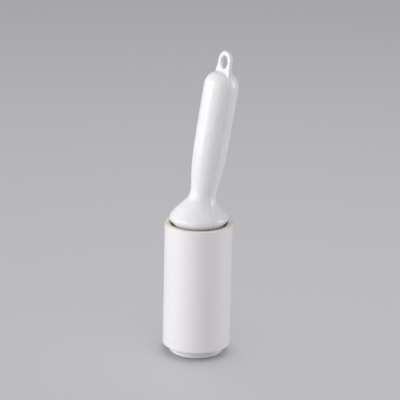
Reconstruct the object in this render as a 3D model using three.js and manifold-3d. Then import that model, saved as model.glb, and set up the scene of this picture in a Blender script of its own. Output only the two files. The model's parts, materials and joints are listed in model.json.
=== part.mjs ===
// Hand-held lint roller: a leaning two-shell handle with a hanging loop, a drum that turns freely on a
// steel axle, and a refill of adhesive paper on a cardboard core that slides off the drum.
// Millimetres, +Z up. The origin is the centre of the flat end cap that the roller stands on, and +Z is
// the axle. The handle leans towards +X, and the loop and the shells' parting line lie across it, along Y.
import * as THREE from "three";
import { mergeVertices } from "three/addons/utils/BufferGeometryUtils.js";
import Module from "manifold-3d";

const wasm = await Module();
wasm.setup();

// ---- Driving dimensions ------------------------------------------------------------------------------

// Refill
const refillLength = 100;
const paperBuild = 2.85; // radial, from the core to the outermost sheet's outside
const coreInnerR = 22.5;
const coreWall = 1.5;
const sheetThickness = 0.2;
const tabWidth = 11; // round the refill
const tabLength = 24; // along it
const tabThickness = 0.2;
const tabHeight = 62; // of its middle above the refill's lower end
const sheetSlit = 0.6; // between the two ends of the outermost sheet
const sheetEndAngle = 75; // degrees from +X, on the far side of the loop's open face

// End cap that the roller stands on
const footHeight = 7.5; // how far it stands out of the refill
const footSlack = 1.3; // radial, so that the core passes over it
const footEdgeR = 2;
const footFloor = 2.2;
const footGrooveDepth = 0.3;
const footGrooveWidth = 0.7;
const footGrooveHeight = 2.6; // of its middle
const capInCore = 2; // how far its full radius reaches into the core
const capSpigotLength = 6.5;
const capSpigotWall = 1.8;

// Drum
const sleeveSlack = 1.9; // radial, from the sleeve to the core
const sleeveWall = 1.8;
const ribCount = 8;
const ribWidth = 1.6;
const ribSlack = 0.4; // radial, from the ribs to the core
const ribEndMargin = 4;
const tongueCount = 4;
const tongueLength = 20;
const tongueWidth = 7;
const tongueSlot = 1;
const tongueHeight = 14; // from the sleeve's lower end to the tongue's root
const tongueBumpR = 3;
const hubHeight = 7;
const hubRing = 1.6;
const hubWeb = 2;
const hubBossWall = 2.2;
const hubHoleCount = 6;
const hubHoleR = 2.8;
const hubAboveCap = 9; // from the cap's spigot to the lower hub

// Axle and what is on it
const axleR = 3;
const axleChamfer = 0.6;
const axleInHandle = 31; // above the refill's top
const axleBelowClip = 3.5;
const bushWall = 1.8;
const flangeWidth = 2;
const flangeThickness = 1;
const washerThickness = 0.8;
const washerWidth = 3.2;
const clipThickness = 0.8;
const clipWidth = 2.6;
const clipOpening = 4;
const grooveDepth = 0.7;
const spacerWall = 1;
const waveThickness = 0.3;
const waveRise = 0.5; // of each of its waves, above and below the middle
const waveCount = 3;
const waveInset = 0.4; // of its rim from the washer's
const pinR = 1.25;
const pinLength = 13;
const pinHeight = 26; // above the refill's top

// Handle, with heights above the refill's top
const wall = 2;
const skirtGap = 3.9; // radial, from the bell's skirt to the core
const skirtDepth = 4; // into the core
const rimHeight = 4.6;
const rimOverhang = 4.5; // radial, beyond the skirt
const rimEdgeR = 3.6;
const underside = 0.2; // of the bell's flat underside, outside the skirt
const undercut = 34; // degrees that the bell's underside leans in from upright
const coneSlope = 44; // degrees that the bell's flank leans in from upright
const neckR = 10.15;
const neckFilletR = 13.8;
const gripR = 13.45;
const gripStart = 68;
const buttR = 13.6;
const shoulderHeight = 110;
const shoulderRise = 11;
const shoulderIn = 9;
const lean = THREE.MathUtils.degToRad(9.4);
const leanPivot = 2.9; // where the handle's axis crosses the axle's
const bendFrom = 6; // the bell is upright below this height
const bendTo = 17; // and the neck follows the handle's axis above this one
const partingGap = 0.2;
const pegDepths = [59, 21]; // below the handle's top
const pegR = 1.6;
const pegLength = 4;
const bossR = 3.4;
const axleRibHeight = 14;
const axleRibThickness = 2;
const pinRibThickness = 7;

// Hanging loop
const loopR = 8.7;
const loopHoleR = 5.2;
const loopThickness = 2.7;
const loopRise = 8.2; // of the hole's centre above the handle's top
const loopFlare = 1.4; // extra half width at its foot
const loopRidge = 0.3; // how far the plate stands out of the handle's shoulder

// Plug that closes the bell's mouth
const plugThickness = 1.8;
const plugReach = 2.8; // radial, beyond the skirt's bore, onto the inside of the bell's underside
const plugBossWall = 3;
const plugRibCount = 6;
const plugRibThickness = 1.6;

// Clearances
const seat = 0.15; // between pieces that are fixed to each other
const running = 0.2; // radial, between a turning piece and the axle
const endPlay = 0.1; // along the axle

// Facets
const ROUND = 32;
const ROLL_ROUND = 64;
const INNER_ROUND = 24;
const SMALL_ROUND = 16;
const CURVE_STEPS = 4; // steps on a quarter of a small arc
const BEND_STEPS = 6;

// ---- Worked-out sizes --------------------------------------------------------------------------------

const refillBottom = footHeight;
const refillTop = refillBottom + refillLength;
const coreR = coreInnerR + coreWall;
const refillR = coreR + paperBuild;
const footR = coreInnerR - footSlack;
const capTop = refillBottom + capInCore;
const sleeveR = coreInnerR - sleeveSlack;
const sleeveInnerR = sleeveR - sleeveWall;
const sleeveBottom = capTop + seat;
const sleeveTop = refillTop - skirtDepth - 1;
const ribTipR = coreInnerR - ribSlack;
const spigotR = sleeveInnerR - seat;
const spigotTop = capTop + capSpigotLength;
const boreR = axleR + running;
const bushR = boreR + bushWall;
const bushFlangeR = bushR + flangeWidth;
const hubBoreR = bushR + seat;
const hubR = sleeveInnerR - seat;
const washerR = boreR + washerWidth;
const upperHubTop = sleeveTop - 1;
const upperHubBottom = upperHubTop - hubHeight;
const upperFlangeTop = upperHubTop + seat + flangeThickness;
const upperWasherTop = upperFlangeTop + endPlay + washerThickness;
const lowerHubBottom = spigotTop + hubAboveCap;
const lowerFlangeBottom = lowerHubBottom - seat - flangeThickness;
const lowerWasherBottom = lowerFlangeBottom - endPlay - washerThickness;
const waveTop = lowerWasherBottom - endPlay;
const waveBottom = waveTop - waveThickness - 2 * waveRise;
const clipTop = waveBottom - endPlay;
const clipBottom = clipTop - clipThickness;
const axleBottom = clipBottom - axleBelowClip;
const axleTop = refillTop + axleInHandle;
const skirtR = coreInnerR - skirtGap;
const rimR = skirtR + rimOverhang;
const plugR = skirtR - wall + plugReach;
const handleTop = shoulderHeight + shoulderRise;
const pegHeights = pegDepths.map((depth) => handleTop - depth);
const loopHeight = handleTop + loopRise;

// ---- Shape helpers -----------------------------------------------------------------------------------

const v2 = (x, y) => new THREE.Vector2(x, y);
const radians = THREE.MathUtils.degToRad;

// The points without any that fall on the one before.
function spaced(points) {
  return points.filter((p, i) => i === 0 || p.distanceTo(points[i - 1]) > 0.02);
}

// A profile of radius and height, turned about Z.
function turned(points, facets = ROUND) {
  return new THREE.LatheGeometry(points, facets).rotateX(Math.PI / 2);
}

// A closed ring of rectangular section about Z.
function ring(innerR, outerR, bottom, top, facets = ROUND) {
  const corners = [v2(innerR, bottom), v2(outerR, bottom), v2(outerR, top), v2(innerR, top)];
  return turned([...corners, corners[0]], facets);
}

// A cylinder between two heights about Z.
function rod(radius, bottom, top, facets = ROUND) {
  return new THREE.CylinderGeometry(radius, radius, top - bottom, facets)
    .rotateX(Math.PI / 2)
    .translate(0, 0, (bottom + top) / 2);
}

function box(width, depth, height, x, y, z) {
  return new THREE.BoxGeometry(width, depth, height).translate(x, y, z);
}

// The geometry as a manifold-3d solid, with its shared vertices merged.
function solid(geometry) {
  const loose = geometry.index ? geometry.toNonIndexed() : geometry.clone();
  const bare = new THREE.BufferGeometry().setAttribute("position", loose.getAttribute("position"));
  const merged = mergeVertices(bare, 1e-4);
  const vertProperties = merged.attributes.position.array;
  return new wasm.Manifold(
    new wasm.Mesh({ numProp: 3, vertProperties, triVerts: new Uint32Array(merged.index.array) }),
  );
}

function geometryOf(made) {
  const mesh = made.getMesh();
  const geometry = new THREE.BufferGeometry()
    .setAttribute("position", new THREE.BufferAttribute(new Float32Array(mesh.vertProperties), 3))
    .setIndex(new THREE.BufferAttribute(new Uint32Array(mesh.triVerts), 1));
  geometry.computeVertexNormals();
  return geometry;
}

// The solids made by turning one piece to count evenly spaced places about Z.
function around(count, make) {
  return Array.from({ length: count }, (_, i) => make((2 * Math.PI * i) / count));
}

function joined(first, others) {
  return others.reduce((sum, other) => sum.add(other), first);
}

function cut(first, others) {
  return others.reduce((rest, other) => rest.subtract(other), first);
}

// ---- Handle ------------------------------------------------------------------------------------------

// The handle's outline as radius and height, drawn inset all round from the outside.
function handleOutline(inset, steps) {
  const steep = radians(coneSlope);
  const under = radians(undercut);
  const rimX = rimR - rimEdgeR;
  const edge = rimEdgeR - inset;
  const filletX = neckR + neckFilletR;
  const across = (rimEdgeR + neckFilletR - (filletX - rimX) * Math.cos(steep)) / Math.sin(steep);
  const filletZ = rimHeight + across;
  const skirt = skirtR - inset;
  const underX = rimX + edge * Math.cos(under);
  const underZ = rimHeight - edge * Math.sin(under);
  const path = new THREE.Path();
  path.moveTo(0, -skirtDepth);
  path.lineTo(skirt, -skirtDepth);
  path.lineTo(skirt, underside + inset);
  path.lineTo(underX - (underZ - underside - inset) * Math.tan(under), underside + inset);
  path.lineTo(underX, underZ);
  path.absarc(rimX, rimHeight, edge, -under, steep, false);
  path.absarc(filletX, filletZ, neckFilletR + inset, Math.PI + steep, Math.PI, true);
  const rise = gripStart - filletZ;
  path.bezierCurveTo(
    neckR - inset,
    filletZ + 0.13 * rise,
    gripR - inset,
    filletZ + 0.38 * rise,
    gripR - inset,
    gripStart,
  );
  path.lineTo(buttR - inset, shoulderHeight);
  const shoulderX = buttR - shoulderIn;
  path.absellipse(shoulderX, shoulderHeight, shoulderIn - inset, shoulderRise - inset, 0, Math.PI / 2);
  path.lineTo(0, handleTop - inset);
  return spaced(path.getPoints(steps));
}

// Carries a geometry of the straight handle onto the leaning one. Heights up to bendFrom stay on the
// axle's axis, and those from bendTo are on the handle's own.
function leaned(geometry) {
  const position = geometry.getAttribute("position");
  const point = new THREE.Vector3();
  for (let i = 0; i < position.count; i++) {
    point.fromBufferAttribute(position, i);
    const tilt = lean * THREE.MathUtils.smoothstep(point.z, bendFrom, bendTo);
    const middle = axisAt(point.z);
    const x = middle.x + point.x * Math.cos(tilt);
    position.setXYZ(i, x, point.y, middle.y - point.x * Math.sin(tilt));
  }
  return geometry;
}

// Where the handle's middle line is at a height of the straight handle, as X and Z.
function axisAt(height) {
  const share = THREE.MathUtils.smoothstep(height, bendFrom, bendTo);
  const along = height - leanPivot;
  const rise = THREE.MathUtils.lerp(1, Math.cos(lean), share);
  return v2(share * Math.sin(lean) * along, refillTop + leanPivot + rise * along);
}

// The flat hanging loop, standing on the handle's top in the Y-Z plane.
function loopSolid() {
  const foot = handleTop - wall - 1;
  const shape = new THREE.Shape();
  shape.moveTo(loopR + loopFlare, foot);
  shape.lineTo(loopR + loopFlare, handleTop);
  shape.quadraticCurveTo(loopR, handleTop + loopRise / 2, loopR, loopHeight);
  shape.absarc(0, loopHeight, loopR, 0, Math.PI, false);
  shape.quadraticCurveTo(-loopR, handleTop + loopRise / 2, -loopR - loopFlare, handleTop);
  shape.lineTo(-loopR - loopFlare, foot);
  shape.holes.push(new THREE.Path().absarc(0, loopHeight, loopHoleR, 0, 2 * Math.PI, true));
  const plate = new THREE.ExtrudeGeometry(shape, {
    depth: loopThickness,
    bevelEnabled: false,
    curveSegments: SMALL_ROUND / 2,
  });
  plate.translate(0, 0, -loopThickness / 2);
  return solid(leaned(plate.rotateX(Math.PI / 2).rotateZ(Math.PI / 2)));
}

// The low ridge that carries the loop's edges on down the handle's shoulder.
function loopRidges() {
  const outer = solid(leaned(turned(handleOutline(-loopRidge, CURVE_STEPS))));
  const slab = box(loopThickness, 3 * buttR, shoulderRise, 0, 0, shoulderHeight + shoulderRise / 2);
  return outer.intersect(solid(leaned(slab)));
}

// A transverse rib across the hollow handle.
function crossRib(height, thickness) {
  return solid(leaned(rod(rimR, height - thickness / 2, height + thickness / 2)));
}

// A round bar across the parting, from one distance to another in front of it or behind it.
function acrossParting(radius, from, to, height) {
  const bar = new THREE.CylinderGeometry(radius, radius, to - from, SMALL_ROUND).rotateZ(Math.PI / 2);
  return solid(leaned(bar.translate((from + to) / 2, 0, height)));
}

// The whole handle in one piece: walls, ribs, and bosses for the pegs.
function wholeHandle() {
  const outside = solid(leaned(turned(handleOutline(0, CURVE_STEPS))));
  const inside = solid(leaned(turned(handleOutline(wall, CURVE_STEPS / 2), INNER_ROUND)));
  const ribs = [crossRib(axleRibHeight, axleRibThickness), crossRib(pinHeight, pinRibThickness)];
  const bosses = pegHeights.map((height) => acrossParting(bossR, -buttR, buttR, height));
  const mouth = rod(skirtR - wall, -skirtDepth - 1, -skirtDepth + 1);
  const rooms = [cut(inside, [...ribs, ...bosses]), solid(leaned(mouth))];
  return cut(joined(outside, [loopSolid(), loopRidges()]), rooms);
}

// Everything on one side of the parting surface, which follows the handle's middle line: side is -1 for
// the front and 1 for the back.
function partingSide(side) {
  const offset = (side * partingGap) / 2;
  const far = side * 3 * rimR;
  const heights = [-2 * skirtDepth];
  for (let step = 0; step <= BEND_STEPS; step++) {
    heights.push(THREE.MathUtils.lerp(bendFrom, bendTo, step / BEND_STEPS));
  }
  heights.push(loopHeight + 2 * loopR);
  const line = heights.map(axisAt).map((p) => v2(p.x + offset, p.y));
  const bottom = line[0].y;
  const top = line[line.length - 1].y;
  const shape = new THREE.Shape([...line, v2(far, top), v2(far, bottom)]);
  const slab = new THREE.ExtrudeGeometry(shape, { depth: 3 * rimR, bevelEnabled: false });
  return solid(slab.translate(0, 0, (-3 * rimR) / 2).rotateX(Math.PI / 2));
}

// Room for the axle and its pin through the handle's ribs.
function axleRoom() {
  const shaft = solid(rod(axleR + seat, refillTop, axleTop + seat));
  const cross = new THREE.CylinderGeometry(pinR + seat, pinR + seat, pinLength + 2 * seat, SMALL_ROUND);
  return shaft.add(solid(cross.translate(0, 0, refillTop + pinHeight)));
}

function frontShell() {
  const pegs = pegHeights.map((height) => acrossParting(pegR, -wall, pegLength, height));
  return geometryOf(joined(wholeHandle().intersect(partingSide(-1)), pegs).subtract(axleRoom()));
}

function backShell() {
  const sockets = pegHeights.map((height) =>
    acrossParting(pegR + seat, -seat, pegLength + seat, height),
  );
  return geometryOf(cut(wholeHandle().intersect(partingSide(1)), [...sockets, axleRoom()]));
}

// The disc that closes the bell's mouth, lying on the inside of the bell's underside. Its boss centres the
// axle, bears on the upper washer, and ends just under the handle's lowest rib, which keeps it down.
function bellPlug() {
  const bottom = refillTop + underside + wall + seat;
  const top = bottom + plugThickness;
  const bossR1 = boreR + plugBossWall;
  const disc = solid(rod(plugR, bottom, top));
  const ribBottom = refillTop + axleRibHeight - axleRibThickness / 2;
  const bossTop = ribBottom - bossR1 * Math.sin(lean) - seat;
  const boss = solid(rod(bossR1, upperWasherTop + endPlay, bossTop));
  const ribs = around(plugRibCount, (angle) => {
    const length = skirtR - wall - seat - 1;
    const rib = box(length, plugRibThickness, plugThickness * 2, length / 2, 0, bottom - plugThickness / 2);
    return solid(rib.rotateZ(angle));
  });
  const bore = solid(rod(axleR + seat, refillBottom, axleTop));
  return geometryOf(joined(disc.add(boss), ribs).subtract(bore));
}

// ---- Axle --------------------------------------------------------------------------------------------

function axle() {
  const grooveR = axleR - grooveDepth;
  const profile = [
    v2(0, axleBottom),
    v2(axleR - axleChamfer, axleBottom),
    v2(axleR, axleBottom + axleChamfer),
    v2(axleR, clipBottom - endPlay),
    v2(grooveR, clipBottom - endPlay),
    v2(grooveR, clipTop + endPlay / 2),
    v2(axleR, clipTop + endPlay / 2),
    v2(axleR, axleTop - axleChamfer),
    v2(axleR - axleChamfer, axleTop),
    v2(0, axleTop),
  ];
  const hole = new THREE.CylinderGeometry(pinR + seat, pinR + seat, 4 * axleR, SMALL_ROUND);
  return geometryOf(
    solid(turned(profile, INNER_ROUND)).subtract(solid(hole.translate(0, 0, refillTop + pinHeight))),
  );
}

function axlePin() {
  const pin = new THREE.CylinderGeometry(pinR, pinR, pinLength, SMALL_ROUND);
  return pin.translate(0, 0, refillTop + pinHeight);
}

// The plain tube on the axle that keeps the two bushes apart.
function spacer() {
  return ring(boreR, boreR + spacerWall, lowerHubBottom + hubHeight + endPlay, upperHubBottom - endPlay);
}

// The springy washer that takes up the drum's end play.
function waveWasher() {
  const geometry = ring(boreR, washerR - waveInset, waveBottom, waveBottom + waveThickness);
  const position = geometry.getAttribute("position");
  for (let i = 0; i < position.count; i++) {
    const angle = Math.atan2(position.getY(i), position.getX(i));
    const rise = waveRise * (1 + Math.cos(waveCount * angle));
    position.setZ(i, position.getZ(i) + rise);
  }
  return geometry;
}

// The open retaining clip in the axle's groove.
function axleClip() {
  const inner = axleR - grooveDepth + seat;
  const outer = inner + clipWidth;
  const halfOuter = Math.asin(clipOpening / 2 / outer);
  const halfInner = Math.asin(clipOpening / 2 / inner);
  const shape = new THREE.Shape();
  shape.absarc(0, 0, outer, halfOuter, 2 * Math.PI - halfOuter, false);
  shape.absarc(0, 0, inner, 2 * Math.PI - halfInner, halfInner, true);
  return new THREE.ExtrudeGeometry(shape, {
    depth: clipThickness,
    bevelEnabled: false,
    curveSegments: SMALL_ROUND,
  }).translate(0, 0, clipBottom);
}

// ---- Drum --------------------------------------------------------------------------------------------

// A flanged bush. Its flange is at the top end, or at the bottom end where flangeDown is true.
function bush(hubBottom, flangeDown) {
  const near = flangeDown ? hubBottom + hubHeight : hubBottom;
  const far = flangeDown ? hubBottom - seat : hubBottom + hubHeight + seat;
  const end = flangeDown ? far - flangeThickness : far + flangeThickness;
  const profile = [
    v2(boreR, near),
    v2(bushR, near),
    v2(bushR, far),
    v2(bushFlangeR, far),
    v2(bushFlangeR, end),
    v2(boreR, end),
    v2(boreR, near),
  ];
  return turned(flangeDown ? profile.reverse() : profile);
}

// A hub inside the sleeve: an outer ring, a web with holes, and a boss that holds the bush.
function hub(bottom) {
  const top = bottom + hubHeight;
  const middle = (bottom + top) / 2;
  const bossR1 = hubBoreR + hubBossWall;
  const outer = solid(ring(hubR - hubRing, hubR, bottom, top));
  const boss = solid(ring(hubBoreR, bossR1, bottom, top));
  const web = solid(ring(bossR1 - seat, hubR - hubRing / 2, middle - hubWeb / 2, middle + hubWeb / 2));
  const holeCircle = (bossR1 + hubR - hubRing) / 2;
  const holes = around(hubHoleCount, (angle) => {
    const hole = rod(hubHoleR, bottom, top, SMALL_ROUND).translate(holeCircle, 0, 0);
    return solid(hole.rotateZ(angle));
  });
  return geometryOf(cut(outer.add(boss).add(web), holes));
}

// The sleeve that the core slides over: ribs that centre it, and sprung tongues that hold it.
function sleeve() {
  const tube = solid(ring(sleeveInnerR, sleeveR, sleeveBottom, sleeveTop, ROUND));
  const ribBottom = sleeveBottom + ribEndMargin;
  const ribTop = sleeveTop - ribEndMargin;
  const ribs = around(ribCount, (angle) => {
    const depth = ribTipR - sleeveInnerR - sleeveWall / 2;
    const bar = box(depth, ribWidth, ribTop - ribBottom, ribTipR - depth / 2, 0, (ribBottom + ribTop) / 2);
    return solid(bar.rotateZ(angle));
  });
  const slots = [];
  const bumps = [];
  const halfStep = Math.PI / ribCount;
  const root = sleeveBottom + tongueHeight;
  const tip = root + tongueLength;
  const slotReach = 2 * sleeveWall;
  const slotX = sleeveR - sleeveWall / 2;
  const endWidth = tongueWidth + 2 * tongueSlot;
  around(tongueCount, (angle) => {
    const side = (sign) => {
      const y = (sign * (tongueWidth + tongueSlot)) / 2;
      return box(slotReach, tongueSlot, tongueLength, slotX, y, (root + tip) / 2);
    };
    const end = box(slotReach, endWidth, tongueSlot, slotX, 0, tip + tongueSlot / 2 - seat);
    [side(1), side(-1), end].forEach((slot) => slots.push(solid(slot.rotateZ(angle + halfStep))));
    const bump = new THREE.SphereGeometry(tongueBumpR, SMALL_ROUND, SMALL_ROUND / 2);
    bump.translate(ribTipR - tongueBumpR, 0, tip - tongueBumpR);
    bumps.push(solid(bump.rotateZ(angle + halfStep)));
  });
  const inside = solid(rod(sleeveInnerR, sleeveBottom, sleeveTop, ROUND));
  return geometryOf(joined(cut(joined(tube, ribs), slots), bumps).subtract(inside));
}

// The closed end cap. Its floor is what the roller stands on, and its spigot fits the sleeve.
function endCap() {
  const innerR = spigotR - capSpigotWall;
  const path = new THREE.Path();
  path.moveTo(0, 0);
  path.lineTo(footR - footEdgeR, 0);
  path.absarc(footR - footEdgeR, footEdgeR, footEdgeR, -Math.PI / 2, 0, false);
  path.lineTo(footR, footGrooveHeight - footGrooveWidth / 2);
  path.lineTo(footR - footGrooveDepth, footGrooveHeight - footGrooveWidth / 6);
  path.lineTo(footR - footGrooveDepth, footGrooveHeight + footGrooveWidth / 6);
  path.lineTo(footR, footGrooveHeight + footGrooveWidth / 2);
  path.lineTo(footR, capTop);
  path.lineTo(spigotR, capTop);
  path.lineTo(spigotR, spigotTop);
  path.lineTo(innerR, spigotTop);
  path.lineTo(innerR, footFloor);
  path.lineTo(0, footFloor);
  return turned(spaced(path.getPoints(CURVE_STEPS)));
}

// ---- Refill ------------------------------------------------------------------------------------------

const packR = refillR - sheetThickness - seat;

// The outermost sheet: one turn, open at its two ends.
function outerSheet() {
  const innerR = refillR - sheetThickness;
  const half = Math.asin(sheetSlit / 2 / refillR);
  const shape = new THREE.Shape();
  shape.absarc(0, 0, refillR, half, 2 * Math.PI - half, false);
  shape.absarc(0, 0, innerR, 2 * Math.PI - half, half, true);
  return new THREE.ExtrudeGeometry(shape, {
    depth: refillLength,
    bevelEnabled: false,
    curveSegments: ROLL_ROUND / 2,
  })
    .rotateZ(radians(sheetEndAngle))
    .translate(0, 0, refillBottom);
}

// The paper tab that starts the outermost sheet, stuck across the sheet's loose end.
function sheetTab() {
  const innerR = refillR + seat / 2;
  const outerR = innerR + tabThickness;
  const half = tabWidth / 2 / outerR;
  const shape = new THREE.Shape();
  shape.absarc(0, 0, outerR, -half, half, false);
  shape.absarc(0, 0, innerR, half, -half, true);
  return new THREE.ExtrudeGeometry(shape, {
    depth: tabLength,
    bevelEnabled: false,
    curveSegments: CURVE_STEPS,
  })
    .rotateZ(radians(sheetEndAngle))
    .translate(0, 0, refillBottom + tabHeight - tabLength / 2);
}

// ---- Materials and assembly --------------------------------------------------------------------------

const standard = (color, roughness, metalness = 0) =>
  new THREE.MeshStandardMaterial({ color, roughness, metalness });
const glossWhite = standard(0xf1f1f3, 0.32);
const drumWhite = standard(0xe9eaec, 0.4);
const acetal = standard(0xdedad0, 0.45);
const steel = standard(0xa9abae, 0.3, 1);
const springSteel = standard(0x6f7276, 0.4, 1);
const kraft = standard(0xc9a77c, 0.9);
const wound = standard(0xf0e6d8, 0.8);
const paper = standard(0xf4f3f4, 0.45);
const tabPaper = standard(0xe4e6ea, 0.7);

const handle = new THREE.Group();
const drum = new THREE.Group();
const refill = new THREE.Group();

function add(group, name, geometry, material) {
  const mesh = new THREE.Mesh(geometry, material);
  mesh.name = name;
  group.add(mesh);
}

add(handle, "handle_front_shell", frontShell(), glossWhite);
add(handle, "handle_back_shell", backShell(), glossWhite);
add(handle, "bell_plug", bellPlug(), drumWhite);
add(handle, "axle_rod", axle(), steel);
add(handle, "axle_pin", axlePin(), steel);
add(handle, "upper_washer", ring(boreR, washerR, upperFlangeTop + endPlay, upperWasherTop), steel);
add(handle, "lower_washer", ring(boreR, washerR, lowerWasherBottom, lowerFlangeBottom - endPlay), steel);
add(handle, "wave_washer", waveWasher(), springSteel);
add(handle, "axle_clip", axleClip(), springSteel);

add(drum, "drum_sleeve", sleeve(), drumWhite);
add(drum, "upper_hub", hub(upperHubBottom), drumWhite);
add(drum, "lower_hub", hub(lowerHubBottom), drumWhite);
add(drum, "upper_bush", bush(upperHubBottom, false), acetal);
add(drum, "lower_bush", bush(lowerHubBottom, true), acetal);
add(drum, "axle_spacer", spacer(), acetal);
add(drum, "end_cap", endCap(), glossWhite);

add(refill, "core_tube", ring(coreInnerR, coreR, refillBottom, refillTop, ROLL_ROUND), kraft);
add(refill, "tape_pack", ring(coreR + seat, packR, refillBottom, refillTop, ROLL_ROUND), wound);
add(refill, "outer_sheet", outerSheet(), paper);
add(refill, "sheet_tab", sheetTab(), tabPaper);

const lintRoller = new THREE.Group();
lintRoller.add(handle, drum, refill);
export default lintRoller;
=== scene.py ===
import json
import math

import bmesh
import bpy
import numpy as np
from mathutils import Matrix, Vector

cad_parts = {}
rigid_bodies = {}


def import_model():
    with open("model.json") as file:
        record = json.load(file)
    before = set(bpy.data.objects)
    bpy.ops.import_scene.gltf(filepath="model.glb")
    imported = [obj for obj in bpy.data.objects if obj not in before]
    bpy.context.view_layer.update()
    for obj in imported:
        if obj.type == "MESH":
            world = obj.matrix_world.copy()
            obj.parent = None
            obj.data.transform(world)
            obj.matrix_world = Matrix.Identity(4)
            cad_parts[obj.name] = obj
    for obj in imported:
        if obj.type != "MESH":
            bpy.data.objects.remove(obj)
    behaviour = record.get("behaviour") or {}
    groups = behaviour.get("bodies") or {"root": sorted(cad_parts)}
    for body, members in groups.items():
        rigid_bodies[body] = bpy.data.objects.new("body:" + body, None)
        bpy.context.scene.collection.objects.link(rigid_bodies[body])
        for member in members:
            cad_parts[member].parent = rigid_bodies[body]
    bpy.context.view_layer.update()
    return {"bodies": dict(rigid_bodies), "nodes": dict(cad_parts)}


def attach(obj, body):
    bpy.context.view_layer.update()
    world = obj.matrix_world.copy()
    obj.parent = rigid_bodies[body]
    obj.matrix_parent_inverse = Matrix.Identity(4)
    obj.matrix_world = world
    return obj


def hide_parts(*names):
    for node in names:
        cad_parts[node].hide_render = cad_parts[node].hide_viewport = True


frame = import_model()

MM = 0.001
draws = np.random.default_rng(7)

# Sizes in millimetres, the same values as the CAD model's. Heights in the handle are above the refill.
REFILL_BOTTOM = 7.5
REFILL_LENGTH = 100
REFILL_TOP = REFILL_BOTTOM + REFILL_LENGTH
CORE_INNER_R = 22.5
CORE_R = 24
REFILL_R = 26.85
SHEET = 0.2
SLIT = 0.6
SHEET_END = math.radians(75)
TAB_WIDTH = 11
TAB_LENGTH = 24
TAB_CORNER = 2
TAB_MIDDLE = REFILL_BOTTOM + 62
WALL = 2
SKIRT_R = 18.6
SKIRT_DEPTH = 4
UNDERSIDE = 0.2
RIM_R = 23.1
RIM_HEIGHT = 4.6
RIM_EDGE_R = 3.6
UNDERCUT = math.radians(34)
CONE = math.radians(44)
NECK_R = 10.15
NECK_FILLET_R = 13.8
GRIP_R = 13.45
GRIP_START = 68
BUTT_R = 13.6
SHOULDER = 110
SHOULDER_RISE = 11
SHOULDER_IN = 9
LEAN = math.radians(9.4)
LEAN_PIVOT = 2.9
BEND_FROM = 6
BEND_TO = 17
LOOP_R = 8.7
LOOP_HOLE_R = 5.2
LOOP_THICKNESS = 2.7
LOOP_RISE = 8.2
LOOP_FLARE = 1.4
LOOP_RIDGE = 0.3
LOOP_EDGE_R = 0.45
LOOP_BLEND = 1.6  # size of the fillet between the loop and the handle's top
RIDGE_BLEND = 0.4
CAP_VOXEL = 0.3
SEAM_HALF = 0.02  # half the gap between the two shells
CAP_FROM = 103.0  # above this height the handle is one blended surface with its loop
HANDLE_TOP = SHOULDER + SHOULDER_RISE
LOOP_HEIGHT = HANDLE_TOP + LOOP_RISE
FOOT_R = 21.2
FOOT_EDGE_R = 2
FOOT_FLOOR = 2.2
GROOVE_DEPTH = 0.3
GROOVE_HEIGHT = 2.6
GROOVE_HALF = 0.35
GROOVE_FLOOR_HALF = 0.12
CAP_TOP = 9.5
SPIGOT_TOP = 16
SPIGOT_R = 18.65
SPIGOT_WALL = 1.8


# ---- Camera ------------------------------------------------------------------------------------------

CAMERA_AZIMUTH = math.radians(-30)


def make_camera():
    """30 degrees to the left of the front, looking down 17.8 degrees, with a slight roll."""
    tilt, roll = math.radians(17.79), math.radians(1.26)
    distance = 1.73616
    target = Vector((0, 0, 0.1105))
    side = Vector((math.cos(CAMERA_AZIMUTH), math.sin(CAMERA_AZIMUTH), 0))
    ahead = Vector((-side.y * math.cos(tilt), side.x * math.cos(tilt), -math.sin(tilt)))
    place = target - ahead * distance
    above = side.cross(ahead)
    right = side * math.cos(roll) + above * math.sin(roll)
    up = above * math.cos(roll) - side * math.sin(roll)
    aim = (ahead + right * 0.00056 + up * 0.00848).normalized()
    right = aim.cross(up).normalized()
    up = right.cross(aim)
    data = bpy.data.cameras.new("camera")
    data.sensor_width = 36
    data.lens = 198.4
    data.clip_start = 0.05
    data.clip_end = 30
    camera = bpy.data.objects.new("camera", data)
    bpy.context.scene.collection.objects.link(camera)
    turn = Matrix((right, up, -aim)).transposed()
    camera.matrix_world = Matrix.Translation(place) @ turn.to_4x4()
    bpy.context.scene.camera = camera


make_camera()


# ---- Materials ---------------------------------------------------------------------------------------


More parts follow.
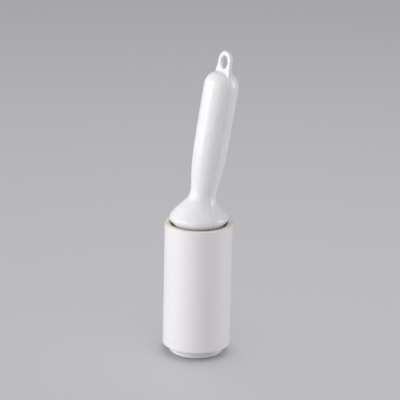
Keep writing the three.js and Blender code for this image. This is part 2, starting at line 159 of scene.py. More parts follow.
class Look:
    """A procedural material: its shader and what feeds it."""

    def __init__(self, name, colour, roughness, metallic=0.0):
        self.material = bpy.data.materials.new(name)
        self.material.use_nodes = True
        self.tree = self.material.node_tree
        self.shader = self.tree.nodes["Principled BSDF"]
        self.shader.inputs["Base Color"].default_value = (*colour, 1)
        self.shader.inputs["Roughness"].default_value = roughness
        self.shader.inputs["Metallic"].default_value = metallic
        self.material.diffuse_color = (*colour, 1)
        self.place = self.tree.nodes.new("ShaderNodeTexCoord").outputs["Object"]

    def node(self, kind, **settings):
        made = self.tree.nodes.new("ShaderNode" + kind)
        for key, value in settings.items():
            setattr(made, key, value)
        return made

    def link(self, output, target):
        self.tree.links.new(output, target)

    def maths(self, operation, first, second=None, third=None):
        made = self.node("Math", operation=operation)
        for socket, value in zip(made.inputs, (first, second, third)):
            if isinstance(value, (int, float)):
                socket.default_value = value
            elif value is not None:
                self.link(value, socket)
        return made.outputs[0]

    def scaled(self, scale, source=None):
        """The object's own coordinates, stretched by a factor for each axis."""
        made = self.node("VectorMath", operation="MULTIPLY")
        made.inputs[1].default_value = scale
        self.link(source or self.place, made.inputs[0])
        return made.outputs[0]

    def noise(self, vector, detail=3.0, roughness=0.55, distortion=0.0):
        made = self.node("TexNoise")
        made.inputs["Scale"].default_value = 1.0
        made.inputs["Detail"].default_value = detail
        made.inputs["Roughness"].default_value = roughness
        made.inputs["Distortion"].default_value = distortion
        self.link(vector, made.inputs["Vector"])
        return made.outputs["Fac"]

    def ranged(self, value, low, high, to_low, to_high, smooth=False):
        made = self.node("MapRange")
        if smooth:
            made.interpolation_type = "SMOOTHSTEP"
        limits = (("From Min", low), ("From Max", high), ("To Min", to_low), ("To Max", to_high))
        for name, number in limits:
            made.inputs[name].default_value = number
        self.link(value, made.inputs["Value"])
        return made.outputs["Result"]

    def blend(self, factor, first, second):
        """A colour between two, each given as a colour or as a socket."""
        made = self.node("Mix", data_type="RGBA")
        self.link(factor, made.inputs["Factor"])
        for socket, value in ((made.inputs[6], first), (made.inputs[7], second)):
            if isinstance(value, tuple):
                socket.default_value = (*value, 1)
            else:
                self.link(value, socket)
        return made.outputs[2]

    def colour(self, socket):
        self.link(socket, self.shader.inputs["Base Color"])

    def roughness(self, socket):
        self.link(socket, self.shader.inputs["Roughness"])

    def bump(self, height, depth_mm, strength=1.0):
        """Adds relief of a depth in millimetres to whatever relief there is."""
        made = self.node("Bump")
        made.inputs["Strength"].default_value = strength
        made.inputs["Distance"].default_value = depth_mm * MM
        self.link(height, made.inputs["Height"])
        normal = self.shader.inputs["Normal"]
        if normal.is_linked:
            self.link(normal.links[0].from_socket, made.inputs["Normal"])
        self.link(made.outputs[0], normal)


def moulded_white(name, colour, rough, seam=False):
    """White moulded plastic: a faint cloudiness, a fine orange peel and small scuffs in its gloss."""
    look = Look(name, colour, rough)
    cloud = look.noise(look.scaled((45, 45, 30)), detail=4)
    deeper = tuple(c * f for c, f in zip(colour, (0.955, 0.96, 0.975)))
    look.colour(look.blend(look.ranged(cloud, 0.35, 0.65, 0, 1), colour, deeper))
    scuff = look.noise(look.scaled((260, 260, 60)), detail=2)
    look.roughness(look.ranged(scuff, 0.3, 0.75, rough - 0.02, rough + 0.05, smooth=True))
    look.shader.inputs["IOR"].default_value = 1.49
    look.shader.inputs["Subsurface Weight"].default_value = 0.12
    look.shader.inputs["Subsurface Radius"].default_value = (1.0, 0.95, 0.9)
    look.shader.inputs["Subsurface Scale"].default_value = 0.0012
    look.bump(look.noise(look.scaled((500, 500, 500)), detail=0), 0.002, 0.3)
    if seam:
        straight = look.node("Attribute", attribute_name="straight")
        parts = look.node("SeparateXYZ")
        look.link(straight.outputs["Vector"], parts.inputs[0])
        across = look.maths("ABSOLUTE", parts.outputs["X"])
        ridge = look.ranged(across, 0.1, 0.32, 1, 0, smooth=True)
        low = look.ranged(parts.outputs["Z"], 14, 34, 1, 0.12, smooth=True)
        high = look.ranged(parts.outputs["Z"], 98, 108, 0, 1, smooth=True)
        look.bump(look.maths("MULTIPLY", ridge, look.maths("MAXIMUM", low, high)), 0.07)
    return look.material


def steel(name, colour, rough):
    look = Look(name, colour, rough, 1.0)
    drawn = look.noise(look.scaled((2600, 2600, 60)), detail=4)
    look.roughness(look.ranged(drawn, 0.3, 0.7, rough - 0.08, rough + 0.12))
    dull = look.noise(look.scaled((120, 120, 60)), detail=3)
    darker = tuple(c * 0.78 for c in colour)
    look.colour(look.blend(look.ranged(dull, 0.4, 0.7, 0, 1), colour, darker))
    look.bump(drawn, 0.01, 0.4)
    return look.material


def kraft_board():
    """Spiral-wound grey-brown board, with fibres and the joints of its outer ply."""
    look = Look("kraft_board", (0.66, 0.56, 0.44), 0.85)
    parts = look.node("SeparateXYZ")
    look.link(look.place, parts.inputs[0])
    turn = look.maths("ARCTAN2", parts.outputs["Y"], parts.outputs["X"])
    climb = look.maths("MULTIPLY_ADD", parts.outputs["Z"], 21.0, look.maths("MULTIPLY", turn, 1 / math.tau))
    step = look.maths("FRACT", climb)
    joint = look.ranged(look.maths("ABSOLUTE", look.maths("SUBTRACT", step, 0.5)), 0.0, 0.02, 1, 0)
    fibre = look.noise(look.scaled((500, 500, 1900)), detail=5, roughness=0.75, distortion=0.6)
    cloud = look.noise(look.scaled((70, 70, 110)), detail=3)
    body = look.blend(look.ranged(fibre, 0.3, 0.7, 0, 1), (0.7, 0.6, 0.47), (0.58, 0.47, 0.35))
    body = look.blend(look.ranged(cloud, 0.35, 0.75, 0, 0.5), body, (0.74, 0.65, 0.53))
    look.colour(look.blend(look.maths("MULTIPLY", joint, 0.55), body, (0.36, 0.28, 0.2)))
    look.bump(fibre, 0.06, 0.5)
    look.bump(joint, -0.12, 0.6)
    return look.material


def wound_edges():
    """The cut edges of the wound paper: fine rings, with glue darkening a few of them."""
    look = Look("wound_edges", (0.91, 0.87, 0.81), 0.7)
    flat = look.scaled((1, 1, 0))
    length = look.node("VectorMath", operation="LENGTH")
    look.link(flat, length.inputs[0])
    radius = length.outputs["Value"]
    fine = look.node("TexNoise", noise_dimensions="1D")
    fine.inputs["Scale"].default_value = 5200
    fine.inputs["Detail"].default_value = 4
    fine.inputs["Roughness"].default_value = 0.7
    look.link(radius, fine.inputs["W"])
    rings = fine.outputs["Fac"]
    patch = look.noise(look.scaled((160, 160, 160)), detail=3)
    tone = look.blend(look.ranged(rings, 0.32, 0.68, 0, 1), (0.95, 0.925, 0.885), (0.87, 0.815, 0.74))
    tone = look.blend(look.ranged(patch, 0.4, 0.7, 0, 0.35), tone, (0.96, 0.94, 0.91))
    inward = look.ranged(radius, (CORE_R + 0.1) * MM, (CORE_R + 1.0) * MM, 0.55, 0, smooth=True)
    look.colour(look.blend(inward, tone, (0.84, 0.76, 0.64)))
    look.bump(rings, 0.05, 0.7)
    return look.material


def coated_paper():
    """The outermost sheet: smooth coated paper with faint glue stripes and coating lines."""
    look = Look("coated_paper", (0.78, 0.76, 0.77), 0.45)
    parts = look.node("SeparateXYZ")
    look.link(look.place, parts.inputs[0])
    turn = look.maths("ARCTAN2", parts.outputs["Y"], parts.outputs["X"])
    around = look.node("CombineXYZ")
    look.link(look.maths("MULTIPLY", turn, REFILL_R), around.inputs["X"])
    look.link(look.maths("MULTIPLY", parts.outputs["Z"], 1000), around.inputs["Y"])
    unrolled = around.outputs[0]
    stripes = look.noise(look.scaled((0.05, 0.9, 1), unrolled), detail=3)
    broad = look.noise(look.scaled((0.1, 0.03, 1), unrolled), detail=2)
    tone = look.blend(look.ranged(stripes, 0.3, 0.7, 0, 1), (0.89, 0.867, 0.877), (0.86, 0.837, 0.847))
    tone = look.blend(look.ranged(broad, 0.4, 0.65, 0, 0.6), tone, (0.88, 0.845, 0.857))
    look.colour(tone)
    fibre = look.noise(look.scaled((3, 3, 1), unrolled), detail=5, roughness=0.7)
    look.roughness(look.ranged(stripes, 0.3, 0.7, 0.36, 0.5))
    look.bump(fibre, 0.018, 0.35)
    look.bump(stripes, 0.03, 0.25)
    look.shader.inputs["Coat Weight"].default_value = 1.0
    look.shader.inputs["Coat IOR"].default_value = 1.75
    look.shader.inputs["Coat Roughness"].default_value = 0.42
    return look.material


def plain_paper():
    look = Look("plain_paper", (0.78, 0.79, 0.8), 0.65)
    fibre = look.noise(look.scaled((2500, 2500, 1500)), detail=5, roughness=0.7)
    cloud = look.noise(look.scaled((260, 260, 260)), detail=3)
    look.colour(look.blend(look.ranged(cloud, 0.35, 0.7, 0, 1), (0.7, 0.735, 0.78), (0.67, 0.705, 0.75)))
    look.roughness(look.ranged(fibre, 0.3, 0.7, 0.58, 0.72))
    look.bump(fibre, 0.01, 0.4)
    return look.material


SHELL_WHITE = moulded_white("shell_white", (0.865, 0.865, 0.872), 0.27, seam=True)
CAP_WHITE = moulded_white("cap_white", (0.82, 0.82, 0.83), 0.3)
DRUM_WHITE = moulded_white("drum_white", (0.8, 0.805, 0.815), 0.4)
ACETAL = moulded_white("acetal", (0.74, 0.72, 0.66), 0.42)
BRIGHT_STEEL = steel("bright_steel", (0.62, 0.63, 0.64), 0.3)
SPRING_STEEL = steel("spring_steel", (0.32, 0.33, 0.35), 0.38)
KRAFT = kraft_board()
EDGES = wound_edges()
PAPER = coated_paper()
TAB_PAPER = plain_paper()


# ---- Mesh helpers ------------------------------------------------------------------------------------


def make_piece(name, points, faces, body, look, stands_for, straight=None):
    """A smooth-shaded piece from points in millimetres, which replaces its CAD node."""
    mesh = bpy.data.meshes.new(name)
    mesh.from_pydata((np.asarray(points) * MM).tolist(), [], faces)
    mesh.validate()
    mesh.shade_smooth()
    if straight is not None:
        layer = mesh.attributes.new("straight", "FLOAT_VECTOR", "POINT")
        layer.data.foreach_set("vector", np.asarray(straight, dtype=np.float32).ravel())
    mesh.materials.append(look)
    piece = bpy.data.objects.new(name, mesh)
    bpy.context.scene.collection.objects.link(piece)
    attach(piece, body)
    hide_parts(*stands_for)
    return piece


def grid_faces(rows, columns, wrap_rows=False, wrap_columns=False, offset=0):
    faces = []
    for i in range(rows if wrap_rows else rows - 1):
        for j in range(columns if wrap_columns else columns - 1):
            k, m = (i + 1) % rows, (j + 1) % columns
            corners = (i * columns + j, i * columns + m, k * columns + m, k * columns + j)
            faces.append(tuple(offset + c for c in corners))
    return faces


def rounded(corners, steps=5):
    """A path through corners given as (radius, height, rounding), each rounded by its own arc."""
    path = []
    count = len(corners)
    for i in range(count):
        here = np.array(corners[i][:2], float)
        before = np.array(corners[i - 1][:2], float)
        after = np.array(corners[(i + 1) % count][:2], float)
        size = corners[i][2]
        if size == 0:
            path.append(here)
            continue
        a = (before - here) / np.linalg.norm(before - here)
        b = (after - here) / np.linalg.norm(after - here)
        half = math.acos(np.clip(a @ b, -1, 1)) / 2
        reach = size / math.tan(half)
        centre = here + (a + b) / np.linalg.norm(a + b) * size / math.sin(half)
        start, end = here + a * reach - centre, here + b * reach - centre
        angle = math.pi - 2 * half
        for k in range(steps + 1):
            t = k / steps
            mix = (start * math.sin((1 - t) * angle) + end * math.sin(t * angle)) / math.sin(angle)
            path.append(centre + mix)
    return path


def denser(path, longest, closed=True):
    """The path with extra points, so that no step is longer than a given length."""
    out = []
    count = len(path)
    for i in range(count if closed else count - 1):
        a, b = np.array(path[i]), np.array(path[(i + 1) % count])
        parts = max(1, math.ceil(np.linalg.norm(b - a) / longest))
        out.extend(a + (b - a) * k / parts for k in range(parts))
    if not closed:
        out.append(np.array(path[-1]))
    return out


def turned(path, segments=128, wobble=None):
    """Points and faces of a closed profile turned about Z."""
    points = []
    for r, z in path:
        for j in range(segments):
            angle = math.tau * j / segments
            extra = wobble(angle, r, z) if wobble else 0
            points.append(((r + extra) * math.cos(angle), (r + extra) * math.sin(angle), z))
    return points, grid_faces(len(path), segments, wrap_rows=True, wrap_columns=True)


# ---- Handle ------------------------------------------------------------------------------------------


def smoothstep(value, low, high):
    t = np.clip((np.asarray(value, float) - low) / (high - low), 0, 1)
    return t * t * (3 - 2 * t)


def leaned(straight):
    """Carries points of the straight handle onto the leaning one, as the CAD model does."""
    x, y, h = np.asarray(straight, float).T
    share = smoothstep(h, BEND_FROM, BEND_TO)
    tilt = share * LEAN
    along = h - LEAN_PIVOT
    middle_x = share * math.sin(LEAN) * along
    middle_z = REFILL_TOP + LEAN_PIVOT + along * (1 + (math.cos(LEAN) - 1) * share)
    return np.stack([middle_x + x * np.cos(tilt), y, middle_z - x * np.sin(tilt)], 1)


def arc(centre, size, start, end, steps):
    width, rise = size if isinstance(size, tuple) else (size, size)
    angles = np.linspace(start, end, steps + 1)
    return [np.array((centre[0] + width * math.cos(a), centre[1] + rise * math.sin(a))) for a in angles]


def handle_outline():
    """Radius and height of the handle's outside, from inside the skirt up to the middle of its top."""
    rim_x = RIM_R - RIM_EDGE_R
    fillet_x = NECK_R + NECK_FILLET_R
    reach = RIM_EDGE_R + NECK_FILLET_R - (fillet_x - rim_x) * math.cos(CONE)
    fillet_z = RIM_HEIGHT + reach / math.sin(CONE)
    under_x = rim_x + RIM_EDGE_R * math.cos(UNDERCUT)
    under_z = RIM_HEIGHT - RIM_EDGE_R * math.sin(UNDERCUT)
    slope = math.tan(UNDERCUT)
    foot_x = under_x - (under_z - UNDERSIDE) * slope
    inner = SKIRT_R - WALL
    path = [np.array((inner, 2.0)), np.array((inner, 0.3 - SKIRT_DEPTH))]
    path += arc((inner + 0.3, 0.3 - SKIRT_DEPTH), 0.3, math.pi, 1.5 * math.pi, 4)[1:]
    path += arc((SKIRT_R - 0.4, 0.4 - SKIRT_DEPTH), 0.4, -0.5 * math.pi, 0, 5)
    for x, z in ((SKIRT_R, -0.25), (SKIRT_R + 0.06, -0.09), (SKIRT_R + 0.25, 0), (foot_x - 0.45, 0)):
        path.append(np.array((x, UNDERSIDE + z)))
    for rise in (0.07, 0.25, 0.55, 1.0):
        ease = 0.16 * max(0, 1 - rise / 0.6) ** 2
        path.append(np.array((foot_x + slope * rise - ease, UNDERSIDE + rise)))
    path.append(np.array((under_x - 0.15 * slope, under_z - 0.15)))
    path += arc((rim_x, RIM_HEIGHT), RIM_EDGE_R, -UNDERCUT, CONE, 22)
    path += arc((fillet_x, fillet_z), NECK_FILLET_R, math.pi + CONE, math.pi, 22)
    rise = GRIP_START - fillet_z
    stops = [(NECK_R, fillet_z), (NECK_R, fillet_z + 0.13 * rise), (GRIP_R, fillet_z + 0.38 * rise)]
    stops = [np.array(p) for p in (*stops, (GRIP_R, GRIP_START))]
    for k in range(1, 33):
        t = k / 32
        weights = ((1 - t) ** 3, 3 * (1 - t) ** 2 * t, 3 * (1 - t) * t * t, t**3)
        path.append(sum(w * p for w, p in zip(weights, stops)))
    path += arc((BUTT_R - SHOULDER_IN, SHOULDER), (SHOULDER_IN, SHOULDER_RISE), 0, math.pi / 2, 40)
    path.append(np.array((0.0, HANDLE_TOP)))
    return path


OUTLINE = handle_outline()


def along_path(path, points):
    """Each 2-D point's distance to a path of straight steps."""
    path = np.asarray(path)
    a, step = path[:-1], np.diff(path, axis=0)
    gap = points[:, None, :] - a[None]
    t = np.clip((gap * step).sum(2) / (step**2).sum(1), 0, 1)
    return np.sqrt(((gap - t[..., None] * step) ** 2).sum(2)).min(1)


def loop_outline():
    """Half of the loop's outline as (side, height), from inside the shoulder up to its top."""
    wide = LOOP_R + LOOP_FLARE
    path = [np.array((wide, SHOULDER + 2.0)), np.array((wide, HANDLE_TOP))]
    stops = [np.array(p) for p in ((wide, HANDLE_TOP), (LOOP_R, HANDLE_TOP + LOOP_RISE / 2))]
    stops.append(np.array((LOOP_R, LOOP_HEIGHT)))
    for k in range(1, 17):
        t = k / 16
        path.append((1 - t) ** 2 * stops[0] + 2 * t * (1 - t) * stops[1] + t * t * stops[2])
    return path + arc((0, LOOP_HEIGHT), LOOP_R, 0, math.pi / 2, 24)[1:]


LOOP_HALF = loop_outline()
DOME = [p for p in OUTLINE if p[1] > 60]


def blended(first, second, size):
    """A union of two distance fields with a fillet between them."""
    near = np.clip(size - np.abs(first - second), 0, None) / size
    return np.minimum(first, second) - near * near * size / 4


def cap_field(points):
    """Signed distance to the handle's top with its loop, in the straight handle's coordinates."""
    x, y, h = points.T
    radius = np.hypot(x, y)
    dome = np.asarray(DOME)
    inside = (h < HANDLE_TOP) & (radius < np.interp(h, dome[:, 1], dome[:, 0]))
    body = along_path(DOME, np.stack([radius, h], 1)) * np.where(inside, -1, 1)
    stand = -0.5 + (LOOP_RIDGE + 0.5) * smoothstep(h, 106, 114)
    ridge = np.maximum(body - stand, np.abs(x) - LOOP_THICKNESS / 2 + 0.1)
    half = np.asarray(LOOP_HALF)
    within = (h < LOOP_HEIGHT + LOOP_R) & (np.abs(y) < np.interp(h, half[:, 1], half[:, 0]))
    flat = along_path(LOOP_HALF, np.stack([np.abs(y), h], 1)) * np.where(within, -1, 1)
    flat = np.maximum(flat, LOOP_HOLE_R - np.hypot(y, h - LOOP_HEIGHT))
    across = np.abs(x) - LOOP_THICKNESS / 2 + LOOP_EDGE_R
    flat = flat + LOOP_EDGE_R
    plate = np.minimum(np.maximum(flat, across), 0) - LOOP_EDGE_R
    plate += np.hypot(np.maximum(flat, 0), np.maximum(across, 0))
    return blended(blended(body, ridge, RIDGE_BLEND), plate, LOOP_BLEND)


def cap_surface():
    """The blended top as a mesh: a coarse union remeshed evenly, then moved onto the exact surface."""
    rings = [p for p in OUTLINE if p[1] > CAP_FROM - 3 and p[0] > 0.01]
    rings = [np.array((BUTT_R - 0.03, CAP_FROM - 4)), *rings]
    points, _ = turned(rings, 64)
    faces = grid_faces(len(rings), 64, wrap_columns=True)
    faces.append(tuple(reversed(range(64))))
    faces.append(tuple(range((len(rings) - 1) * 64, len(rings) * 64)))
    start = len(points)
    outer = [(side * p[0], p[1]) for side, half in ((1, LOOP_HALF), (-1, LOOP_HALF[::-1])) for p in half]
    angles = np.array([math.atan2(h - LOOP_HEIGHT, y) for y, h in outer])
    reach = np.array([math.hypot(y, h - LOOP_HEIGHT) for y, h in outer])
    order = np.argsort(angles)
    count = 96
    for x, hole in ((-1, False), (1, False), (1, True), (-1, True)):
        for k in range(count):
            angle = math.tau * k / count - math.pi
            r = np.interp(angle, angles[order], reach[order], period=math.tau)
            r = LOOP_HOLE_R if hole else r
            place = (r * math.cos(angle), LOOP_HEIGHT + r * math.sin(angle))
            points.append((x * LOOP_THICKNESS / 2, *place))
    faces += grid_faces(4, count, wrap_rows=True, wrap_columns=True, offset=start)
    mesh = bpy.data.meshes.new("cap_surface")
    mesh.from_pydata((np.asarray(points) * MM).tolist(), [], faces)
    rough = bpy.data.objects.new("cap_surface", mesh)
    bpy.context.scene.collection.objects.link(rough)
    remesh = rough.modifiers.new("even", "REMESH")
    remesh.mode = "VOXEL"
    remesh.voxel_size = CAP_VOXEL * MM
    even = rough.evaluated_get(bpy.context.evaluated_depsgraph_get()).to_mesh()
    work = bmesh.new()
    work.from_mesh(even)
    bpy.data.objects.remove(rough)
    spots = np.array([v.co[:] for v in work.verts]) / MM
    for _ in range(5):
        value = cap_field(spots)
        slope = np.empty_like(spots)
        for axis in range(3):
            nudge = np.zeros(3)
            nudge[axis] = 0.01
            slope[:, axis] = (cap_field(spots + nudge) - cap_field(spots - nudge)) / 0.02
        steep = np.maximum((slope**2).sum(1), 0.2)
        spots -= slope * (np.clip(value, -0.3, 0.3) / steep)[:, None]
    for v, p in zip(work.verts, spots):
        v.co = p
    return work


CAP = cap_surface()


def half_cap(side):
    """Points and faces of one half of the blended top. side is -1 for the front, 1 for the back."""
    work = CAP.copy()
    for place, facing in (((0, 0, CAP_FROM), (0, 0, 1)), ((SEAM_HALF * side, 0, 0), (side, 0, 0))):
        geom = work.verts[:] + work.edges[:] + work.faces[:]
        cut = {"geom": geom, "plane_co": place, "plane_no": facing}
        bmesh.ops.bisect_plane(work, dist=1e-5, clear_inner=True, **cut)
    work.verts.index_update()
    points = [tuple(v.co) for v in work.verts]
    faces = [tuple(v.index for v in f.verts) for f in work.faces]
    work.free()
    return points, faces


def handle_shell(name, side, node):
    """One moulded half of the handle: its turned lower part, and its half of the blended top."""
    rows = [p for p in denser(OUTLINE, 1.6, closed=False) if p[1] < CAP_FROM - 0.2]
    level = np.interp(CAP_FROM, [GRIP_START, SHOULDER], [GRIP_R, BUTT_R])
    rows.append(np.array((level, CAP_FROM + 0.02)))
    columns = 72
    points = []
    for r, h in rows:
        for j in range(columns + 1):
            angle = -math.pi / 2 + math.pi * j / columns
            points.append((side * (r * math.cos(angle) + SEAM_HALF), r * math.sin(angle), h))
    faces = grid_faces(len(rows), columns + 1)
    if side < 0:
        faces = [tuple(reversed(f)) for f in faces]
    top_points, top_faces = half_cap(side)
    faces += [tuple(len(points) + i for i in f) for f in top_faces]
    points += top_points
    placed = leaned(points)
    make_piece(name, placed, faces, "handle", SHELL_WHITE, [node], points)


handle_shell("front_shell", -1, "handle_front_shell")
handle_shell("back_shell", 1, "handle_back_shell")


# ---- Refill ------------------------------------------------------------------------------------------


def core_tube():
    top, bottom = REFILL_TOP, REFILL_BOTTOM
    corners = [
        (CORE_INNER_R, bottom, 0.25),
        (CORE_R, bottom, 0.15),
        (CORE_R, top, 0.15),
        (CORE_INNER_R, top, 0.25),
    ]
    path = denser(rounded(corners, 3), 6)
    points, faces = turned(path, 160)
    make_piece("core", points, faces, "refill", KRAFT, ["core_tube"])


def tape_pack():
    """The wound paper, whose turns stand a few hundredths of a millimetre out of line at each end."""
    outer, inner = REFILL_R - SHEET - 0.15, CORE_R + 0.02
    turns = np.linspace(inner, outer, 26)
    top = [(r, REFILL_TOP - 0.02 - 0.16 * draws.random()) for r in turns]
    bottom = [(r, REFILL_BOTTOM + 0.02 + 0.16 * draws.random()) for r in turns]
    path = top[::-1] + bottom
    points, faces = turned(path, 160)
    make_piece("wound_tape", points, faces, "refill", EDGES, ["tape_pack"])


def outer_sheet():
    """The outermost sheet, whose two torn ends meet along the slit on the far side."""
    columns, rows = 224, 50
    half_slit = SLIT / 2 / REFILL_R
    teeth = [0.2 * (1 if i % 2 else -1) * draws.uniform(0.4, 1) for i in range(rows + 1)]
    layers = []
    for outside in (True, False):
        layer = []
        for i in range(rows + 1):
            z = REFILL_BOTTOM + REFILL_LENGTH * i / rows
            for j in range(columns + 1):
                share = j / columns
                near_end = max(0.0, 1 - min(share, 1 - share) * columns / 3)
                torn = teeth[i] * near_end * 0.55 / REFILL_R
                angle = SHEET_END + half_slit + torn + (math.tau - 2 * half_slit) * share
                r = REFILL_R if outside else REFILL_R - SHEET
                r -= 0.03 + 0.012 * (1 + math.sin(5 * angle + 0.05 * z) * math.sin(0.11 * z + 2 * angle))
                layer.append((r * math.cos(angle), r * math.sin(angle), z))
        layers.append(layer)
    points = layers[0] + layers[1]
    count = (rows + 1) * (columns + 1)
    faces = grid_faces(rows + 1, columns + 1)
    faces += [tuple(count + i for i in reversed(f)) for f in grid_faces(rows + 1, columns + 1)]
    rim = list(range(columns + 1))
    rim += [i * (columns + 1) + columns for i in range(1, rows + 1)]
    rim += [rows * (columns + 1) + j for j in range(columns - 1, -1, -1)]
    rim += [i * (columns + 1) for i in range(rows - 1, 0, -1)]
    for a, b in zip(rim, rim[1:] + rim[:1]):
        faces.append((b, a, a + count, b + count))
    sheet = make_piece("outer_paper", points, faces, "refill", PAPER, ["outer_sheet"])
    sheet.data.set_sharp_from_angle(angle=math.radians(40))


def sheet_tab():
    """The small paper tab across the sheet's loose end, its corners rounded."""
    half_wide, half_tall = TAB_WIDTH / 2 - TAB_CORNER, TAB_LENGTH / 2 - TAB_CORNER
    outline = []
    for sx, sz, start in ((1, 1, 0), (-1, 1, 90), (-1, -1, 180), (1, -1, 270)):
        for k in range(7):
            a = math.radians(start + 15 * k)
            across, along = TAB_CORNER * math.cos(a), TAB_CORNER * math.sin(a)
            outline.append((sx * half_wide + across, sz * half_tall + along))
    rings = 6
    points, faces = [], []
    count = len(outline)
    for base in (REFILL_R + 0.225, REFILL_R + 0.06):
        for i in range(rings + 1):
            for u, w in outline:
                scale = 1 - i / (rings + 0.4)
                angle = SHEET_END + u * scale / REFILL_R
                points.append((base * math.cos(angle), base * math.sin(angle), TAB_MIDDLE + w * scale))
    layer = (rings + 1) * count
    for i in range(rings):
        for j in range(count):
            m = (j + 1) % count
            quad = (i * count + j, i * count + m, (i + 1) * count + m, (i + 1) * count + j)
            faces.append(quad)
            faces.append(tuple(layer + q for q in reversed(quad)))
    faces.append(tuple(rings * count + j for j in range(count)))
    faces.append(tuple(layer + rings * count + j for j in reversed(range(count))))
    for j in range(count):
        m = (j + 1) % count
        faces.append((m, j, layer + j, layer + m))
    tab = make_piece("lift_tab", points, faces, "refill", TAB_PAPER, ["sheet_tab"])
    tab.data.set_sharp_from_angle(angle=math.radians(40))


core_tube()
tape_pack()
outer_sheet()
sheet_tab()


# ---- Drum --------------------------------------------------------------------------------------------


def end_cap():
    inner = SPIGOT_R - SPIGOT_WALL
    corners = [
        (0.001, 0, 0),
        (FOOT_R, 0, FOOT_EDGE_R),
        (FOOT_R, GROOVE_HEIGHT - GROOVE_HALF, 0.1),
        (FOOT_R - GROOVE_DEPTH, GROOVE_HEIGHT - GROOVE_FLOOR_HALF, 0.1),
        (FOOT_R - GROOVE_DEPTH, GROOVE_HEIGHT + GROOVE_FLOOR_HALF, 0.1),
        (FOOT_R, GROOVE_HEIGHT + GROOVE_HALF, 0.1),
        (FOOT_R, CAP_TOP, 0.3),
        (SPIGOT_R, CAP_TOP, 0.2),
        (SPIGOT_R, SPIGOT_TOP, 0.3),
        (inner, SPIGOT_TOP, 0.3),
        (inner, FOOT_FLOOR, 0.6),
        (0.001, FOOT_FLOOR, 0),
    ]
    path = denser(rounded(corners, 8), 2.5)
    points, faces = turned(path, 128)
    make_piece("foot_cap", points, faces, "drum", CAP_WHITE, ["end_cap"])


end_cap()


def soften(node, look, width=0.25):
    """Rounds a CAD node's edges with modifiers, and gives it its material."""
    piece = frame["nodes"][node]
    weld = piece.modifiers.new("weld", "WELD")
    weld.merge_threshold = 0.01 * MM
    bevel = piece.modifiers.new("edges", "BEVEL")
    bevel.width = width * MM
    bevel.segments = 2
    bevel.limit_method = "ANGLE"
    bevel.angle_limit = math.radians(35)
    for place in piece.material_slots:
        place.link = "OBJECT"
        place.material = look


for node, look, width in (
    ("bell_plug", DRUM_WHITE, 0.25),
    ("axle_rod", BRIGHT_STEEL, 0.12),
    ("axle_pin", BRIGHT_STEEL, 0.12),
    ("upper_washer", BRIGHT_STEEL, 0.08),
    ("lower_washer", BRIGHT_STEEL, 0.08),
    ("wave_washer", SPRING_STEEL, 0.05),
    ("axle_clip", SPRING_STEEL, 0.08),
    ("drum_sleeve", DRUM_WHITE, 0.2),
    ("upper_hub", DRUM_WHITE, 0.2),
    ("lower_hub", DRUM_WHITE, 0.2),
    ("upper_bush", ACETAL, 0.12),
    ("lower_bush", ACETAL, 0.12),
    ("axle_spacer", ACETAL, 0.12),
):
    soften(node, look, width)


# ---- Studio ------------------------------------------------------------------------------------------

MIDDLE = Vector((0, 0, 0.12))
LIGHT_DISTANCE = 1.3


def area_light(name, place, size, power, colour=(1, 1, 1)):
    data = bpy.data.lights.new(name, "AREA")
    data.shape = "RECTANGLE"
    data.size, data.size_y = size
    data.energy = power
    data.color = colour
    lamp = bpy.data.objects.new(name, data)
    bpy.context.scene.collection.objects.link(lamp)
    lamp.location = place
    lamp.rotation_mode = "QUATERNION"
    lamp.rotation_quaternion = (MIDDLE - place).to_track_quat("-Z", "Y")
    return lamp


def from_camera(turn, rise):
    """A place round the object's middle, turned from the camera's side towards its right, and raised."""
    turn, rise = math.radians(turn), math.radians(rise)
    side = Vector((math.cos(CAMERA_AZIMUTH), math.sin(CAMERA_AZIMUTH), 0))
    ahead = Vector((-side.y, side.x, 0))
    level = side * math.sin(turn) - ahead * math.cos(turn)
    return MIDDLE + (level * math.cos(rise) + Vector((0, 0, math.sin(rise)))) * LIGHT_DISTANCE


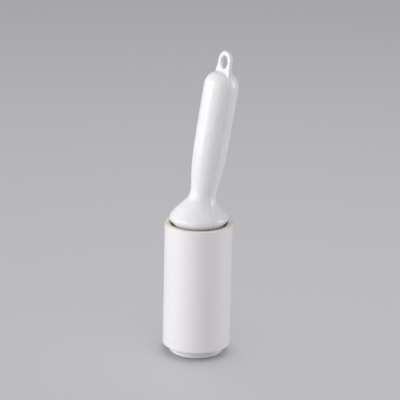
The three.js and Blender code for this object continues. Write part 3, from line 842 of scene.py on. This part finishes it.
# name, degrees to the camera's right, degrees up, width and height in metres, watts, colour
SIDE_LIGHTS = (
    ("key", -68, 17, (0.7, 1.1), 10.0, (1, 1, 1)),
    ("edge", -102, 10, (0.6, 0.9), 2.3, (1, 1, 1)),
    ("near", -24, 20, (0.6, 0.9), 2.9, (1, 1, 1)),
    ("right", 96, 10, (0.45, 0.9), 6.8, (0.98, 0.98, 1)),
)


def studio():
    soft = []
    for name, turn, rise, size, power, colour in SIDE_LIGHTS:
        soft.append(area_light(name, from_camera(turn, rise), size, power, colour))
    area_light("top", Vector((-0.1, 0.1, 1.5)), (1.2, 1.2), 3.0)
    wash = area_light("wash", Vector((0.2, -0.2, 1.7)), (1.8, 1.8), 6.5)
    world = bpy.data.worlds.new("studio")
    world.use_nodes = True
    glow = world.node_tree.nodes["Background"]
    glow.inputs["Color"].default_value = (0.96, 0.95, 1, 1)
    glow.inputs["Strength"].default_value = 0.34
    bpy.context.scene.world = world
    settings = bpy.context.scene.view_settings
    settings.view_transform = "Standard"
    settings.look = "None"

    look = Look("pale_floor", (0.86, 0.86, 0.87), 0.6)
    grain = look.noise(look.scaled((300, 300, 300)), detail=4)
    look.roughness(look.ranged(grain, 0.3, 0.7, 0.55, 0.68))
    look.bump(grain, 0.02, 0.3)
    mesh = bpy.data.meshes.new("floor")
    rings = [0.3, 1.0, 3.0, 8.0]
    sides = 96
    points = [(0.0, 0.0, 0.0)]
    for size in rings:
        angles = [math.tau * j / sides for j in range(sides)]
        points += [(size * math.cos(a), size * math.sin(a), 0) for a in angles]
    faces = [(0, 1 + j, 1 + (j + 1) % sides) for j in range(sides)]
    outer = grid_faces(len(rings), sides, wrap_columns=True, offset=1)
    faces += [tuple(reversed(f)) for f in outer]
    mesh.from_pydata(points, [], faces)
    mesh.materials.append(look.material)
    floor = bpy.data.objects.new("floor", mesh)
    bpy.context.scene.collection.objects.link(floor)
    floor.parent = frame["bodies"]["refill"]
    floor.matrix_parent_inverse = floor.parent.matrix_world.inverted()
    # the side lights stand close to the floor, so they leave it to the soft light from above
    spared = bpy.data.collections.new("floor_only")
    spared.objects.link(floor)
    spared.collection_objects[0].light_linking.link_state = "EXCLUDE"
    for lamp in soft:
        lamp.light_linking.receiver_collection = spared
    washed = bpy.data.collections.new("floor_wash")
    washed.objects.link(floor)
    wash.light_linking.receiver_collection = washed


studio()
